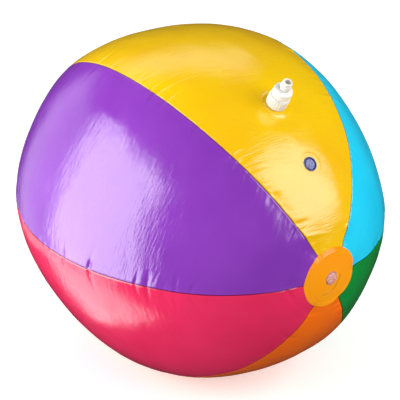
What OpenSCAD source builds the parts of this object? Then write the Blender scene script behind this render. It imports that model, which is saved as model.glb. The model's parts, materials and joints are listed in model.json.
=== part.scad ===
// Inflatable sprinkler beach ball, lying on its side on the ground.
// Six coloured film panels are welded along their long edges and closed by a
// round disc at each end. The air valve is in the front disc. The top panel
// carries a drain valve and a garden hose inlet.
// The end-to-end axis lies along Y, and the ground is z = 0.

/* [Ball] */
// Width across the middle of the ball
ball_width = 580; // [400:5:900]
// Extra reach of each end beyond a round ball of the same width
end_reach = 46; // [20:2:80]
// How much tighter the end caps curve than the middle section
end_tightness = 25; // [15:1:35]
// Width of the flat patch where the ball rests on the ground
contact_width = 60; // [40:2:80]

/* [Film] */
// Thickness of the panel film
film_thickness = 0.35; // [0.25:0.05:0.6]
// Depth of the welded edge turned into the ball
weld_depth = 4; // [3:0.5:6]
// Radius of the opening that the panel tips leave at each end
tip_opening_radius = 40; // [34:1:42]

/* [End discs] */
// Radius of the round disc over each end
disc_radius = 51; // [49:1:70]
// Thickness of the end disc
disc_thickness = 0.4; // [0.3:0.05:0.8]
// Radius of the raised line left by the welding ring
weld_line_radius = 0.45; // [0.3:0.05:0.8]
// Number of raised weld lines on a disc
weld_lines = 3; // [2:1:4]
// Distance between neighbouring weld lines
weld_line_spacing = 2.6; // [2:0.1:3]

/* [Air and drain valves] */
// Inner radius of the ring welded to the film
valve_opening_radius = 10.5; // [9:0.25:13]
// Width of the welded ring outside its opening
valve_ring_width = 7.5; // [6:0.5:12]
// Thickness of the welded ring
valve_ring_thickness = 0.8; // [0.6:0.1:1.2]
// Depth of the short neck below the ring
valve_neck_depth = 3; // [2:0.25:4]
// Wall of the neck
valve_neck_wall = 1; // [0.8:0.1:1.4]
// Wall of the thin rolling skirt
skirt_wall = 0.7; // [0.5:0.05:0.8]
// Depth of the skirt floor when the valve is pushed in
skirt_depth = 12.5; // [11:0.25:15]
// How much the skirt narrows from its top to its floor
skirt_taper = 1.7; // [1:0.1:2]
// Outer radius of the valve stem
stem_radius = 6; // [5.5:0.1:6.5]
// Bore radius of the valve stem
stem_bore_radius = 4.2; // [3.5:0.1:4.5]
// Length of the valve stem
stem_length = 15; // [14:0.25:18]
// Radial running clearance of the plug in the stem
plug_clearance = 0.05; // [0.02:0.01:0.1]
// Radius of the plug cap
plug_cap_radius = 7.8; // [7.4:0.1:8.4]
// Thickness of the plug cap
plug_cap_thickness = 2.4; // [1.8:0.1:3]
// Length of the plug below its cap
plug_length = 7; // [5:0.5:9]
// Width of the strap that ties the plug to the stem
tether_width = 3; // [2:0.25:4]
// Thickness of the strap
tether_thickness = 0.8; // [0.6:0.1:1]
// Thickness of the check flap inside the air valve
flap_thickness = 0.5; // [0.4:0.1:0.8]
// Angle of the drain valve from the front end
drain_angle = 40; // [34:1:44]

/* [Hose inlet] */
// Angle of the hose inlet from the middle of the ball towards the front
inlet_angle = 30; // [24:1:33]
// Radius of the flange welded under the film
inlet_flange_radius = 22; // [20:0.5:28]
// Thickness of the welded flange
inlet_flange_thickness = 1.5; // [1:0.1:2.5]
// Outer radius of the threaded spigot
spigot_radius = 13.2; // [12:0.1:14]
// Bore radius of the spigot
spigot_bore_radius = 9; // [7:0.25:10]
// Height of the spigot above the film
spigot_height = 24; // [20:0.5:26]
// Radial clearance between the spigot and the collar
thread_clearance = 0.08; // [0.03:0.01:0.1]
// Thickness of the sealing washer
washer_thickness = 2; // [1.5:0.1:3]

/* [Hose collar and nipple] */
// Wall of the collar's grip skirt, outside the thread
grip_wall = 2.82; // [2.5:0.05:5]
// Height of the grip skirt
grip_height = 20; // [16:0.5:22]
// Number of grip ribs
grip_ribs = 24; // [16:2:32]
// Radius of each grip rib
rib_radius = 0.9; // [0.6:0.1:1.2]
// Height of the groove between the two tiers
groove_height = 1.6; // [1:0.1:3]
// Depth of the groove
groove_depth = 0.9; // [0.5:0.1:1.2]
// Wall of the collar's upper tier, outside the thread
tier_wall = 2.12; // [1.7:0.05:2.7]
// Height of the upper tier
tier_height = 12.4; // [11:0.2:15]
// Radius of the tier's rounded shoulder
shoulder_radius = 5; // [3:0.5:6]
// Gap between the collar and the film
collar_gap = 1; // [0.5:0.1:2]
// Thickness of the nipple's captive flange
captive_thickness = 3; // [2:0.25:4]
// Radius of the nipple's neck
neck_radius = 7.2; // [6.8:0.1:7.5]
// Length of the neck above the collar
neck_length = 5; // [4:0.25:7]
// Radius of the head that the hose connector grips
head_radius = 8.5; // [8.2:0.1:9]
// Length of the head
head_length = 6; // [5:0.25:8]
// Radius of the tip beyond the head
tip_radius = 7.6; // [7.2:0.1:7.8]
// Length of the tip
tip_length = 5.6; // [5:0.1:7]
// Bore radius of the nipple
nipple_bore_radius = 4.75; // [3.5:0.25:5]
// Section radius of the tip's sealing ring
ring_section_radius = 0.9; // [0.8:0.05:1]

/* [Hidden] */

$fn = 96;
ball_fn = 180;
outline_fn = 360;

// The side outline is an oval of tangent arcs: one long arc over the middle
// and a tighter arc, centred on the axis, over each end.
half_width = ball_width / 2;
half_length = half_width + end_reach;
end_radius = half_width - end_tightness;
end_centre = half_length - end_radius;
side_radius = (pow(half_width, 2) + pow(end_centre, 2) - pow(end_radius, 2))
            / (2 * (half_width - end_radius));
side_shift = side_radius - half_width;
join_angle = atan2(end_centre, side_shift);
reach = 2 * side_radius;

gore_angle = 60;
contact_drop = half_width - sqrt(pow(half_width, 2) - pow(contact_width / 2, 2));
centre_height = half_width - contact_drop;

weld_gap = 0.03;
weld_end_gap = 2;
small_gap = 0.05;
loose_gap = 0.4;

ring_outer_radius = valve_opening_radius + valve_ring_width;
film_hole_radius = valve_opening_radius + valve_neck_wall;
skirt_top_radius = valve_opening_radius + 0.2;
skirt_floor_radius = skirt_top_radius - skirt_taper;
cap_top = film_thickness;
stem_top = cap_top - plug_cap_thickness - small_gap;
stem_end = stem_top - stem_length;
stem_shoulder_radius = stem_radius + 1.4;
stem_shoulder_height = 0.8;
lip_radius = stem_radius + 1;
lip_height = 2;
tether_drop = 3.4;
tether_inner_radius = max(lip_radius, plug_cap_radius) + tether_thickness;
strap_foot = stem_top - lip_height - tether_thickness - small_gap;
skirt_straight_depth = max(valve_neck_depth + 0.2, loose_gap - strap_foot);
tether_reach = tether_inner_radius
    + (valve_opening_radius - tether_inner_radius) * 6 / 19;
flap_radius = stem_radius - 0.6;
flap_hinge_width = 3;

grip_radius = spigot_radius + thread_clearance + grip_wall;
tier_radius = spigot_radius + thread_clearance + tier_wall;
collar_base = collar_gap;
grip_top = collar_base + grip_height;
tier_base = grip_top + groove_height;
tier_top = tier_base + tier_height;
washer_base = spigot_height + 0.02;
captive_base = washer_base + washer_thickness;
captive_top = captive_base + captive_thickness;
captive_radius = spigot_radius - loose_gap;
neck_top = tier_top + neck_length;
head_top = neck_top + head_length;
tip_top = head_top + tip_length;
head_chamfer = head_radius - neck_radius;
seal_groove_radius = tip_radius - 1.5;
seal_groove_height = 2 * ring_section_radius + 0.2;
seal_height = head_top + tip_length / 2;

// Places a part that is drawn around the ball's own end-to-end axis, with its
// front end along +Z and its top along +Y
module ball_frame() {
    translate([0, 0, centre_height])
        rotate([90, 0, 0])
            children();
}

// Places a part on the top panel's middle line, at an angle from the middle,
// with the outer face of the film at its z = 0
module on_side(angle) {
    ball_frame()
        translate([0, -side_shift, 0])
            rotate([angle - 90, 0, 0])
                translate([0, 0, side_radius])
                    children();
}

module at_air_valve() {
    ball_frame()
        translate([0, 0, half_length])
            children();
}

module at_drain_valve() {
    ball_frame()
        translate([0, 0, end_centre])
            rotate([-drain_angle, 0, 0])
                translate([0, 0, end_radius - film_thickness])
                    children();
}

module end_wedge() {
    polygon([
        [0, end_centre],
        [0, end_centre + reach],
        [reach * cos(join_angle), end_centre + reach * sin(join_angle)]
    ]);
}

module ring_outline(radius, inner, outer) {
    difference() {
        circle(r = radius + outer, $fn = outline_fn);
        circle(r = radius + inner, $fn = outline_fn);
    }
}

// Half outline of everything inside an offset from the film's outer face
module solid_outline(offset_out) {
    intersection() {
        translate([-side_shift, 0])
            circle(r = side_radius + offset_out, $fn = outline_fn);
        polygon([
            [0, end_centre],
            [reach * cos(join_angle), end_centre + reach * sin(join_angle)],
            [reach * cos(join_angle), -end_centre - reach * sin(join_angle)],
            [0, -end_centre]
        ]);
    }
    for (end = [0, 1]) {
        mirror([0, end])
            intersection() {
                translate([0, end_centre])
                    circle(r = end_radius + offset_out, $fn = outline_fn);
                end_wedge();
            }
    }
}

// Half outline of a layer, between two offsets from the film's outer face
module layer_outline(inner, outer, start_radius) {
    difference() {
        solid_outline(outer);
        solid_outline(inner);
        translate([-1, -reach])
            square([start_radius + 1, 2 * reach]);
    }
}

// The two welded edges, turned in towards the middle of the ball
module weld_edges() {
    for (edge = [0, 1]) {
        rotate([0, 0, edge * gore_angle])
            translate([0, (1 - edge) * film_thickness + (1 - 2 * edge) * weld_gap, 0])
                rotate([90, 0, 0])
                    linear_extrude(height = film_thickness)
                        layer_outline(-film_thickness / 2 - weld_depth,
                                      -film_thickness / 2,
                                      tip_opening_radius + weld_end_gap);
    }
}

// One panel, centred at an angle clockwise from the top as seen from the front
module gore(clock_angle) {
    ball_frame()
        rotate([0, 0, 90 - gore_angle / 2 - clock_angle]) {
            rotate_extrude(angle = gore_angle, $fn = ball_fn)
                layer_outline(-film_thickness, 0, tip_opening_radius);
            weld_edges();
        }
}

// Everything inside an offset from the film's outer face, between two angles
module ball_wedge(offset_out, angle, spare_angle, cut_radius) {
    ball_frame()
        rotate([0, 0, angle - spare_angle])
            rotate_extrude(angle = gore_angle + 2 * spare_angle, $fn = ball_fn)
                difference() {
                    solid_outline(offset_out);
                    translate([-1, -reach])
                        square([cut_radius + 1, 2 * reach]);
                }
}

// The panel that the ball rests on, with its flat patch on the ground
module resting_gore(clock_angle) {
    start_angle = 90 - gore_angle / 2 - clock_angle;
    difference() {
        intersection() {
            ball_wedge(0, start_angle, 0, tip_opening_radius);
            translate([-ball_width, -ball_width, 0])
                cube(2 * ball_width);
        }
        intersection() {
            ball_wedge(-film_thickness, start_angle, 10, tip_opening_radius / 2);
            translate([-ball_width, -ball_width, film_thickness])
                cube(2 * ball_width);
        }
    }
    ball_frame()
        rotate([0, 0, start_angle])
            weld_edges();
}

module end_disc(hole_radius) {
    rotate_extrude($fn = ball_fn) {
        intersection() {
            translate([0, end_centre])
                ring_outline(end_radius, 0, disc_thickness);
            translate([hole_radius, end_centre])
                square([disc_radius - hole_radius, reach]);
        }
        for (line = [1 : weld_lines]) {
            line_radius = disc_radius - line * weld_line_spacing;
            outer_radius = end_radius + disc_thickness;
            translate([line_radius, end_centre + sqrt(pow(outer_radius, 2) - pow(line_radius, 2))])
                intersection() {
                    circle(r = weld_line_radius, $fn = 32);
                    translate([-1, -disc_thickness / 2])
                        square([2, 2]);
                }
        }
    }
}

// The ring of a valve, curved to lie against the inner face of the film
module moulded_ring(seat_radius) {
    rotate_extrude() {
        intersection() {
            translate([0, -seat_radius])
                ring_outline(seat_radius, -valve_ring_thickness, 0);
            translate([valve_opening_radius, -10])
                square([valve_ring_width, 20]);
        }
        translate([valve_opening_radius, -valve_neck_depth])
            square([valve_neck_wall, valve_neck_depth - valve_ring_thickness]);
    }
}

module moulded_skirt() {
    rotate_extrude()
        polygon([
            [skirt_top_radius, -valve_neck_depth],
            [skirt_top_radius + skirt_wall, -valve_neck_depth],
            [skirt_top_radius + skirt_wall, -skirt_straight_depth],
            [skirt_floor_radius + skirt_wall, -skirt_depth],
            [stem_radius + small_gap, -skirt_depth],
            [stem_radius + small_gap, -skirt_depth + skirt_wall],
            [skirt_floor_radius, -skirt_depth + skirt_wall],
            [skirt_top_radius, -skirt_straight_depth]
        ]);
}

module moulded_stem() {
    difference() {
        union() {
            translate([0, 0, stem_end])
                cylinder(r = stem_radius, h = stem_length);
            translate([0, 0, stem_top - lip_height])
                cylinder(r = lip_radius, h = lip_height);
            translate([0, 0, -skirt_depth - stem_shoulder_height])
                cylinder(r = stem_shoulder_radius, h = stem_shoulder_height);
        }
        translate([0, 0, stem_end - 1])
            cylinder(r = stem_bore_radius, h = stem_length + 2);
    }
}

module moulded_plug() {
    shank_radius = stem_bore_radius - plug_clearance;
    cap_base = cap_top - plug_cap_thickness;
    rotate_extrude()
        polygon([
            [0, cap_top],
            [plug_cap_radius - 0.6, cap_top],
            [plug_cap_radius, cap_top - 0.6],
            [plug_cap_radius, cap_base],
            [shank_radius, cap_base],
            [shank_radius, cap_base - plug_length + 1],
            [shank_radius - 0.8, cap_base - plug_length],
            [0, cap_base - plug_length]
        ]);
}

// A strap folded beside the stem, from the plug's cap down to the stem
module moulded_tether() {
    strap_top = cap_top - plug_cap_thickness / 2;
    translate([-tether_width / 2, 0, 0])
        rotate([90, 0, 90])
            linear_extrude(height = tether_width)
                polygon([
                    [-plug_cap_radius, strap_top],
                    [-tether_reach, strap_top],
                    [-tether_reach, strap_foot],
                    [-stem_radius, strap_foot],
                    [-stem_radius, strap_foot + tether_thickness],
                    [-tether_reach + tether_thickness, strap_foot + tether_thickness],
                    [-tether_reach + tether_thickness, strap_top - tether_thickness],
                    [-plug_cap_radius, strap_top - tether_thickness]
                ]);
}

module flap_shape() {
    translate([0, 0, stem_end - small_gap - flap_thickness]) {
        cylinder(r = flap_radius, h = flap_thickness);
        translate([-flap_hinge_width / 2, 0, 0])
            cube([flap_hinge_width, stem_radius, flap_thickness]);
        translate([-flap_hinge_width / 2, stem_radius, flap_thickness / 2])
            rotate([0, 90, 0])
                cylinder(r = flap_thickness / 2, h = flap_hinge_width, $fn = 32);
    }
}

// Port: a flange curved to the film's inner face, and the threaded spigot
module port_shape() {
    difference() {
        union() {
            intersection() {
                translate([0, 0, -side_radius])
                    rotate([90 - inlet_angle, 0, 0])
                        translate([0, side_shift, 0])
                            rotate([0, 0, 90 - gore_angle / 4])
                                rotate_extrude(angle = gore_angle / 2, $fn = ball_fn)
                                    layer_outline(-film_thickness - inlet_flange_thickness,
                                                  -film_thickness, tip_opening_radius);
                translate([0, 0, -20])
                    cylinder(r = inlet_flange_radius, h = 40);
            }
            translate([0, 0, -film_thickness - inlet_flange_thickness])
                cylinder(r = spigot_radius, h = spigot_height + film_thickness + inlet_flange_thickness);
        }
        translate([0, 0, -20])
            cylinder(r = spigot_bore_radius, h = spigot_height + 40);
    }
}

module washer_shape() {
    translate([0, 0, washer_base])
        difference() {
            cylinder(r = captive_radius, h = washer_thickness);
            translate([0, 0, -1])
                cylinder(r = spigot_bore_radius, h = washer_thickness + 2);
        }
}

module collar_shape() {
    difference() {
        union() {
            rotate_extrude() {
                translate([0, collar_base])
                    square([grip_radius, grip_height]);
                translate([0, grip_top])
                    square([tier_radius - groove_depth, groove_height]);
                translate([0, tier_base])
                    square([tier_radius, tier_height - shoulder_radius]);
                translate([0, tier_base])
                    square([tier_radius - shoulder_radius, tier_height]);
                translate([tier_radius - shoulder_radius, tier_top - shoulder_radius])
                    circle(r = shoulder_radius);
            }
            for (rib = [1 : grip_ribs]) {
                rotate([0, 0, rib * 360 / grip_ribs])
                    translate([grip_radius - rib_radius / 2, 0, collar_base + 2])
                        cylinder(r = rib_radius, h = grip_height - 4, $fn = 24);
            }
        }
        translate([0, 0, collar_base - 1])
            cylinder(r = spigot_radius + thread_clearance,
                     h = captive_top + thread_clearance - collar_base + 1);
        cylinder(r = neck_radius + thread_clearance, h = tier_top + 1);
    }
}

module nipple_shape() {
    difference() {
        rotate_extrude()
            polygon([
                [nipple_bore_radius, captive_base],
                [captive_radius, captive_base],
                [captive_radius, captive_top],
                [neck_radius, captive_top],
                [neck_radius, neck_top - head_chamfer],
                [head_radius, neck_top],
                [head_radius, head_top],
                [tip_radius, head_top + head_radius - tip_radius],
                [tip_radius, tip_top - 1],
                [tip_radius - 0.8, tip_top],
                [nipple_bore_radius, tip_top]
            ]);
        translate([0, 0, seal_height - seal_groove_height / 2])
            difference() {
                cylinder(r = head_radius + 1, h = seal_groove_height);
                translate([0, 0, -1])
                    cylinder(r = seal_groove_radius, h = seal_groove_height + 2);
            }
    }
}

module seal_shape() {
    translate([0, 0, seal_height])
        rotate_extrude()
            translate([seal_groove_radius + ring_section_radius, 0])
                circle(r = ring_section_radius, $fn = 32);
}

module gore_yellow() {
    color("gold")
        difference() {
            gore(0);
            at_drain_valve()
                translate([0, 0, -10])
                    cylinder(r = film_hole_radius, h = 20);
            on_side(inlet_angle)
                translate([0, 0, -10])
                    cylinder(r = spigot_radius + loose_gap, h = 20);
        }
}

module gore_blue() {
    color("deepskyblue")
        gore(60);
}

module gore_green() {
    color("green")
        gore(120);
}

module gore_orange() {
    color("darkorange")
        resting_gore(180);
}

module gore_red() {
    color("crimson")
        gore(240);
}

module gore_purple() {
    color("mediumorchid")
        gore(300);
}

module valve_end_disc() {
    color("orange")
        ball_frame()
            end_disc(film_hole_radius);
}

module closed_end_disc() {
    color("orange")
        ball_frame()
            mirror([0, 0, 1])
                end_disc(0);
}

module valve_ring() {
    color("lavender")
        at_air_valve()
            moulded_ring(end_radius);
}

module valve_skirt() {
    color("lavender")
        at_air_valve()
            moulded_skirt();
}

module valve_stem() {
    color("lavender")
        at_air_valve()
            moulded_stem();
}

module valve_plug() {
    color("mistyrose")
        at_air_valve()
            moulded_plug();
}

module valve_tether() {
    color("mistyrose")
        at_air_valve()
            moulded_tether();
}

module check_flap() {
    color("mistyrose")
        at_air_valve()
            flap_shape();
}

module drain_ring() {
    color("lavender")
        at_drain_valve()
            moulded_ring(end_radius - film_thickness);
}

module drain_skirt() {
    color("lavender")
        at_drain_valve()
            moulded_skirt();
}

module drain_stem() {
    color("lavender")
        at_drain_valve()
            moulded_stem();
}

module drain_plug() {
    color("lavender")
        at_drain_valve()
            moulded_plug();
}

module drain_tether() {
    color("lavender")
        at_drain_valve()
            moulded_tether();
}

module inlet_port() {
    color("white")
        on_side(inlet_angle)
            port_shape();
}

module inlet_washer() {
    color("dimgray")
        on_side(inlet_angle)
            washer_shape();
}

module hose_collar() {
    color("white")
        on_side(inlet_angle)
            collar_shape();
}

module hose_nipple() {
    color("white")
        on_side(inlet_angle)
            nipple_shape();
}

module nipple_seal() {
    color("silver")
        on_side(inlet_angle)
            seal_shape();
}

gore_yellow();
gore_blue();
gore_green();
gore_orange();
gore_red();
gore_purple();
valve_end_disc();
closed_end_disc();
valve_ring();
valve_skirt();
valve_stem();
valve_plug();
valve_tether();
check_flap();
drain_ring();
drain_skirt();
drain_stem();
drain_plug();
drain_tether();
inlet_port();
inlet_washer();
hose_collar();
hose_nipple();
nipple_seal();
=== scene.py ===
import bpy, bmesh, json, math
import numpy as np
from mathutils import Vector, Matrix, Quaternion


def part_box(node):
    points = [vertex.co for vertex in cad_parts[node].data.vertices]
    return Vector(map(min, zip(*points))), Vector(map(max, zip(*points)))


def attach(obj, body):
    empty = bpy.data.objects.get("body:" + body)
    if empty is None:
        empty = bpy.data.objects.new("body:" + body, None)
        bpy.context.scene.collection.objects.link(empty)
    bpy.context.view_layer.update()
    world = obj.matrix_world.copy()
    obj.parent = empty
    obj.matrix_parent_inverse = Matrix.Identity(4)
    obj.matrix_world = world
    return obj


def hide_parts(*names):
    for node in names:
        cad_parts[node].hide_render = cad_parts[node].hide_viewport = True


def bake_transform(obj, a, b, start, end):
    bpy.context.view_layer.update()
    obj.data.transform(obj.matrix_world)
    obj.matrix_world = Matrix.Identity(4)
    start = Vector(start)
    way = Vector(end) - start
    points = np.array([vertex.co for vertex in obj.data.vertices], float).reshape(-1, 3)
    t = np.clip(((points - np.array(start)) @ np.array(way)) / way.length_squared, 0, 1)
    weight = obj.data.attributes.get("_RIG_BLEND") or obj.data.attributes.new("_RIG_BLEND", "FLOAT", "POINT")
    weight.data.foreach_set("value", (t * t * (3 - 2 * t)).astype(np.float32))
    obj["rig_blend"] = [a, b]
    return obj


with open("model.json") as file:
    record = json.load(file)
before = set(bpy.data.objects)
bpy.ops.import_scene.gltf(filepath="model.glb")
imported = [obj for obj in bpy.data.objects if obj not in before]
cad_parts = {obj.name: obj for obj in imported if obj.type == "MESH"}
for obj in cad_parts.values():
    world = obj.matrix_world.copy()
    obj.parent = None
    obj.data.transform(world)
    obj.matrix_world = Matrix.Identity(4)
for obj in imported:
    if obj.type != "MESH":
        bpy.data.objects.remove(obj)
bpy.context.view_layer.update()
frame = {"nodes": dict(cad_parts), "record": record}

lookFrom = {
    "distance": 2.2779,     # metres from the middle of the ball
    "azimuth": -38.25,      # degrees round from the front, to the left
    "elevation": 26.87,
    "tilt": 1.1,            # degrees that the picture leans
    "lens": 119.59,
    "shiftX": 0.0063,
    "shiftY": -0.0053,
}

ballMiddle = Vector((0, 0, 0.288444))     # metres; the ground is at 0


def towards(azimuth, elevation):      # degrees round from the front and up -> a direction
    az, el = math.radians(azimuth), math.radians(elevation)
    return Vector((math.sin(az) * math.cos(el), -math.cos(az) * math.cos(el), math.sin(el)))


def placeObject(name, data):
    obj = bpy.data.objects.new(name, data)
    bpy.context.collection.objects.link(obj)
    return obj


def makeCamera(v):
    back = towards(v["azimuth"], v["elevation"])
    data = bpy.data.cameras.new("camera")
    data.sensor_width = 36
    data.lens = v["lens"]
    data.shift_x, data.shift_y = v["shiftX"], v["shiftY"]
    data.clip_end = 100
    cam = placeObject("camera", data)
    cam.location = ballMiddle + back * v["distance"]
    cam.rotation_mode = "QUATERNION"
    cam.rotation_quaternion = Quaternion(back, math.radians(v["tilt"])) @ (-back).to_track_quat("-Z", "Y")
    bpy.context.scene.camera = cam


makeCamera(lookFrom)
print("camera ready")


def hexColour(code, alpha=1.0):
    parts = [int(code[i:i + 2], 16) / 255 for i in (1, 3, 5)]
    linear = [c / 12.92 if c <= 0.04045 else ((c + 0.055) / 1.055) ** 2.4 for c in parts]
    return (*linear, alpha)


def addNode(tree, kind, inputs=None, **settings):
    node = tree.nodes.new(kind)
    for key, value in settings.items():
        setattr(node, key, value)
    for key, value in (inputs or {}).items():
        if isinstance(value, bpy.types.NodeSocket):
            tree.links.new(value, node.inputs[key])
        else:
            node.inputs[key].default_value = value
    return node


def newMaterial(name):
    mat = bpy.data.materials.new(name)
    mat.use_nodes = True
    mat.node_tree.nodes.clear()
    return mat, mat.node_tree, addNode(mat.node_tree, "ShaderNodeOutputMaterial")


def setRamp(node, stops):
    elements = node.color_ramp.elements
    while len(elements) < len(stops):
        elements.new(0.5)
    for element, (place, colour) in zip(elements, stops):
        element.position, element.color = place, colour


# Calendered soft PVC film, RF welded. The polished rollers leave a wet gloss over
# slow waves, and the pigment varies a little across a panel.
filmLook = {
    "yellow": ("#f6c800", "#f0b800"),
    "blue": ("#22d4f6", "#10c8f0"),
    "green": ("#009038", "#00802e"),
    "orange": ("#ff7600", "#fb6600"),
    "red": ("#ed2c60", "#e02254"),
    "purple": ("#8a3cb8", "#7e32ac"),
    "disc": ("#ffa004", "#fe9300"),
    "roughness": (0.13, 0.24),
    "ior": 1.53,
    "cloudSize": 0.16,        # metres across one cloud of pigment
    "waveSize": 0.022,        # metres between the slow waves the film keeps from its roll
    "waveHeight": 0.0011,
    "creaseLong": 0.022,      # the film's fine crazing runs across a panel
    "creaseApart": 0.0040,
    "creaseHeight": 0.0013,
    "grainSize": 0.0022,      # calender grain is about 0.2 mm, drawn coarser so that it shows
    "grainHeight": 0.00003,
    "scuffSize": 0.03,
    "specular": 0.8,          # both faces of the film mirror, so it shines more than one face would
}


def filmMaterial(name, colours, v):
    base, deep = colours
    mat, tree, out = newMaterial(name)
    place = addNode(tree, "ShaderNodeTexCoord").outputs["Object"]
    cloud = addNode(tree, "ShaderNodeTexNoise", {"Vector": place, "Scale": 1 / v["cloudSize"],
                                                 "Detail": 3.0, "Roughness": 0.5})
    tint = addNode(tree, "ShaderNodeValToRGB", {"Fac": cloud.outputs["Fac"]})
    setRamp(tint, [(0.32, hexColour(deep)), (0.66, hexColour(base))])
    # painted shade darkens the weld's crease and a painted highlight lightens its lip; the discs' pale weld
    # lines, their painted rim highlight, the painted shade in the valve fold and faint rings round the
    # fittings share this attribute
    line = addNode(tree, "ShaderNodeAttribute", attribute_name="weldMarkAndPaintedLight")
    dark = addNode(tree, "ShaderNodeValToRGB", {"Fac": line.outputs["Fac"]})
    setRamp(dark, [(0.0, (0.22, 0.16, 0.18, 1)), (0.5, (1, 1, 1, 1)), (1.0, (1.15, 1.15, 1.15, 1))])
    colour = addNode(tree, "ShaderNodeMixRGB", {"Fac": 1.0, "Color1": tint.outputs["Color"],
                                                "Color2": dark.outputs["Color"]}, blend_type="MULTIPLY")
    scuff = addNode(tree, "ShaderNodeTexNoise", {"Vector": place, "Scale": 1 / v["scuffSize"],
                                                 "Detail": 6.0, "Roughness": 0.65})
    rough = addNode(tree, "ShaderNodeMapRange", {"Value": scuff.outputs["Fac"], "From Min": 0.35,
                                                 "From Max": 0.75, "To Min": v["roughness"][0],
                                                 "To Max": v["roughness"][1]})
    wave = addNode(tree, "ShaderNodeTexNoise", {"Vector": place, "Scale": 1 / v["waveSize"],
                                                "Detail": 1.5, "Roughness": 0.4})
    grain = addNode(tree, "ShaderNodeTexNoise", {"Vector": place, "Scale": 1 / v["grainSize"],
                                                 "Detail": 2.0, "Roughness": 0.5})
    low = addNode(tree, "ShaderNodeBump", {"Height": wave.outputs["Fac"], "Strength": 0.35,
                                           "Distance": v["waveHeight"]})
    spot = addNode(tree, "ShaderNodeAttribute", attribute_name="filmPlace")
    stretch = addNode(tree, "ShaderNodeMapping", {
        "Vector": spot.outputs["Vector"], "Scale": (1 / v["creaseLong"], 1 / v["creaseApart"], 1.0)})
    crease = addNode(tree, "ShaderNodeTexNoise", {"Vector": stretch.outputs["Vector"], "Scale": 1.0,
                                                  "Detail": 3.0, "Roughness": 0.6})
    tight = addNode(tree, "ShaderNodeBump", {"Height": crease.outputs["Fac"], "Strength": 0.35,
                                             "Distance": v["creaseHeight"],
                                             "Normal": low.outputs["Normal"]})
    bump = addNode(tree, "ShaderNodeBump", {"Height": grain.outputs["Fac"], "Strength": 0.5,
                                            "Distance": v["grainHeight"],
                                            "Normal": tight.outputs["Normal"]})
    skin = addNode(tree, "ShaderNodeBsdfPrincipled", {
        "Base Color": colour.outputs["Color"], "Roughness": rough.outputs["Result"],
        "IOR": v["ior"], "Specular IOR Level": v["specular"],
        "Normal": bump.outputs["Normal"]})
    tree.links.new(skin.outputs["BSDF"], out.inputs["Surface"])
    return mat


# Soft clear PVC, injection moulded: glass-clear and rubbery, with a milky bloom
clearLook = {"roughness": 0.14, "ior": 1.52, "flowSize": 0.004, "flowHeight": 0.0003}


def clearMaterial(name, tint, cloudy, clearness, v):
    mat, tree, out = newMaterial(name)
    place = addNode(tree, "ShaderNodeTexCoord").outputs["Object"]
    flow = addNode(tree, "ShaderNodeTexNoise", {"Vector": place, "Scale": 1 / v["flowSize"],
                                                "Detail": 3.0, "Roughness": 0.55})
    colour = addNode(tree, "ShaderNodeValToRGB", {"Fac": flow.outputs["Fac"]})
    setRamp(colour, [(0.35, hexColour(cloudy)), (0.65, hexColour(tint))])
    bump = addNode(tree, "ShaderNodeBump", {"Height": flow.outputs["Fac"], "Strength": 0.4,
                                            "Distance": v["flowHeight"]})
    skin = addNode(tree, "ShaderNodeBsdfPrincipled", {
        "Base Color": colour.outputs["Color"], "Roughness": v["roughness"], "IOR": v["ior"],
        "Transmission Weight": clearness, "Normal": bump.outputs["Normal"]})
    tree.links.new(skin.outputs["BSDF"], out.inputs["Surface"])
    return mat


# White ABS, injection moulded in a spark-eroded tool: an even satin with tiny pits
absLook = {"white": "#f2f0ec", "shade": "#e3e0da", "roughness": (0.28, 0.42), "ior": 1.54,
           "pitSize": 0.0009,     # spark texture is about 0.3 mm, drawn coarser so that it shows
           "pitHeight": 0.00006, "flowSize": 0.014}


def absMaterial(name, v):
    mat, tree, out = newMaterial(name)
    place = addNode(tree, "ShaderNodeTexCoord").outputs["Object"]
    flow = addNode(tree, "ShaderNodeTexNoise", {"Vector": place, "Scale": 1 / v["flowSize"],
                                                "Detail": 2.0})
    colour = addNode(tree, "ShaderNodeValToRGB", {"Fac": flow.outputs["Fac"]})
    setRamp(colour, [(0.3, hexColour(v["shade"])), (0.6, hexColour(v["white"]))])
    pits = addNode(tree, "ShaderNodeTexNoise", {"Vector": place, "Scale": 1 / v["pitSize"],
                                                "Detail": 2.0, "Roughness": 0.6})
    rough = addNode(tree, "ShaderNodeMapRange", {"Value": pits.outputs["Fac"], "To Min": v["roughness"][0],
                                                 "To Max": v["roughness"][1]})
    bump = addNode(tree, "ShaderNodeBump", {"Height": pits.outputs["Fac"], "Strength": 0.35,
                                            "Distance": v["pitHeight"]})
    skin = addNode(tree, "ShaderNodeBsdfPrincipled", {
        "Base Color": colour.outputs["Color"], "Roughness": rough.outputs["Result"], "IOR": v["ior"],
        "Subsurface Weight": 0.08, "Subsurface Radius": (0.002, 0.002, 0.002),
        "Subsurface Scale": 1.0, "Normal": bump.outputs["Normal"]})
    tree.links.new(skin.outputs["BSDF"], out.inputs["Surface"])
    return mat


# Cured rubbers: EPDM for the washer, dull black with a talc bloom, and pale
# silicone for the ring, smooth with a greasy sheen
rubberLook = {"black": ("#1c1c1d", "#2f2f30", 0.62), "silicone": ("#dcd8cf", "#cfcabf", 0.38),
              "bloomSize": 0.003, "grainSize": 0.0008, "grainHeight": 0.00008}


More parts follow.
